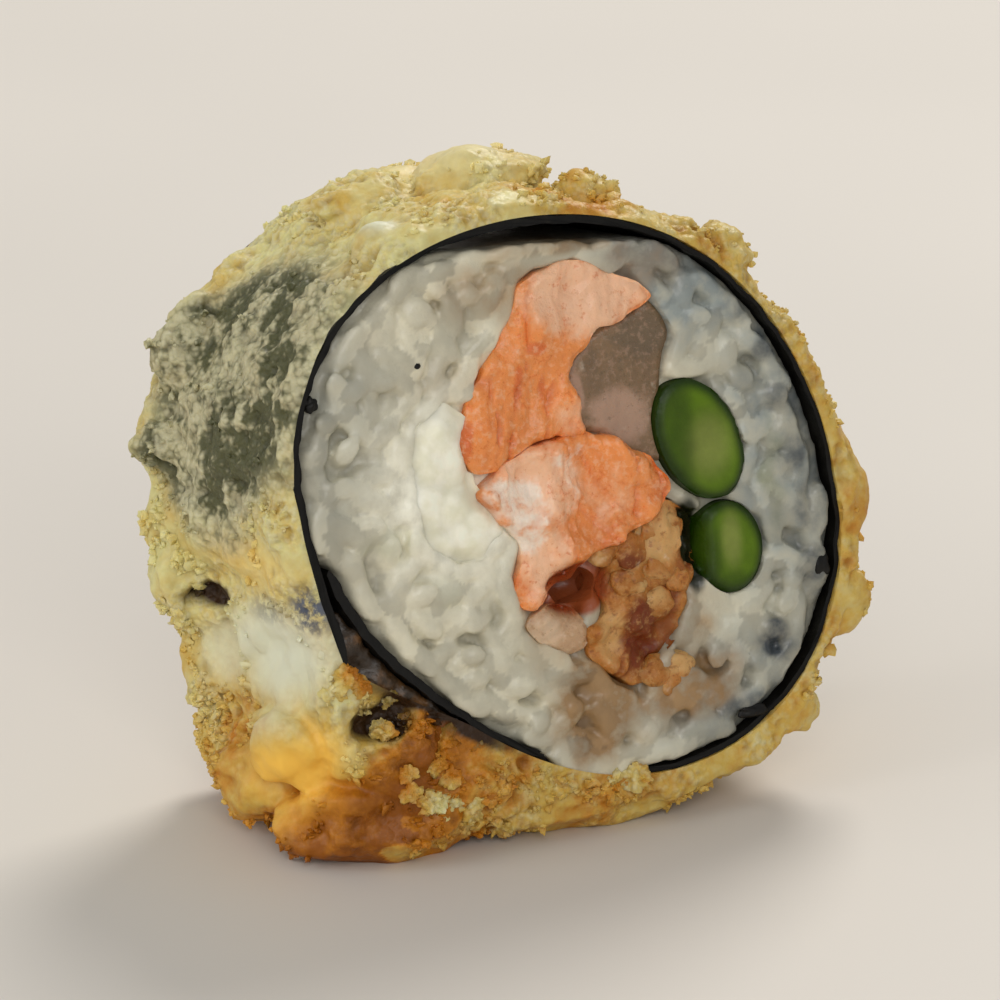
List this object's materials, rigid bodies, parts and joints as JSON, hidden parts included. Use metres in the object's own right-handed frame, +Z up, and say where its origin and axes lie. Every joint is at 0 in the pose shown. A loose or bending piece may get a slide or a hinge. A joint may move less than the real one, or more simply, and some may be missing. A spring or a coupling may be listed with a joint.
{
  "type": "sushi roll slice",
  "caption": "Thick slice of a battered, deep-fried sushi roll standing on its edge: seaweed sheet round rice, cooked salmon, soft cheese and asparagus.",
  "frame": {"origin": "centre of the underside's box, on the surface that the slice stands on", "axes": "+Z up; +Y runs through the slice from the shown cut face, which looks towards -Y and leans back, to the other; +X is to the right of the shown face"},
  "size_m": [0.069, 0.0404, 0.0647],
  "materials": {
    "batter_crust": "fried batter, craggy and slightly oily",
    "nori": "toasted seaweed sheet, satin",
    "rice": "cooked short-grain rice, moist",
    "salmon_upper": "cooked salmon, moist flakes",
    "salmon_lower": "cooked salmon, moist flakes",
    "salmon_dark_flesh": "grey-brown fat layer of cooked salmon",
    "browned_salmon": "browned edge of cooked salmon",
    "pale_flake": "pale cooked fish flake",
    "cream_cheese": "soft fresh cheese, smooth",
    "asparagus_upper": "cooked green asparagus, wet cut",
    "asparagus_lower": "cooked green asparagus, wet cut"
  },
  "bodies": {
    "root": {"batter_crust": "batter_crust", "nori": "nori", "rice": "rice", "salmon_upper": "salmon_upper", "salmon_lower": "salmon_lower", "salmon_dark_flesh": "salmon_dark_flesh", "browned_salmon": "browned_salmon", "pale_flake": "pale_flake", "cream_cheese": "cream_cheese", "asparagus_upper": "asparagus_upper", "asparagus_lower": "asparagus_lower"}
  },
  "joints": []
}
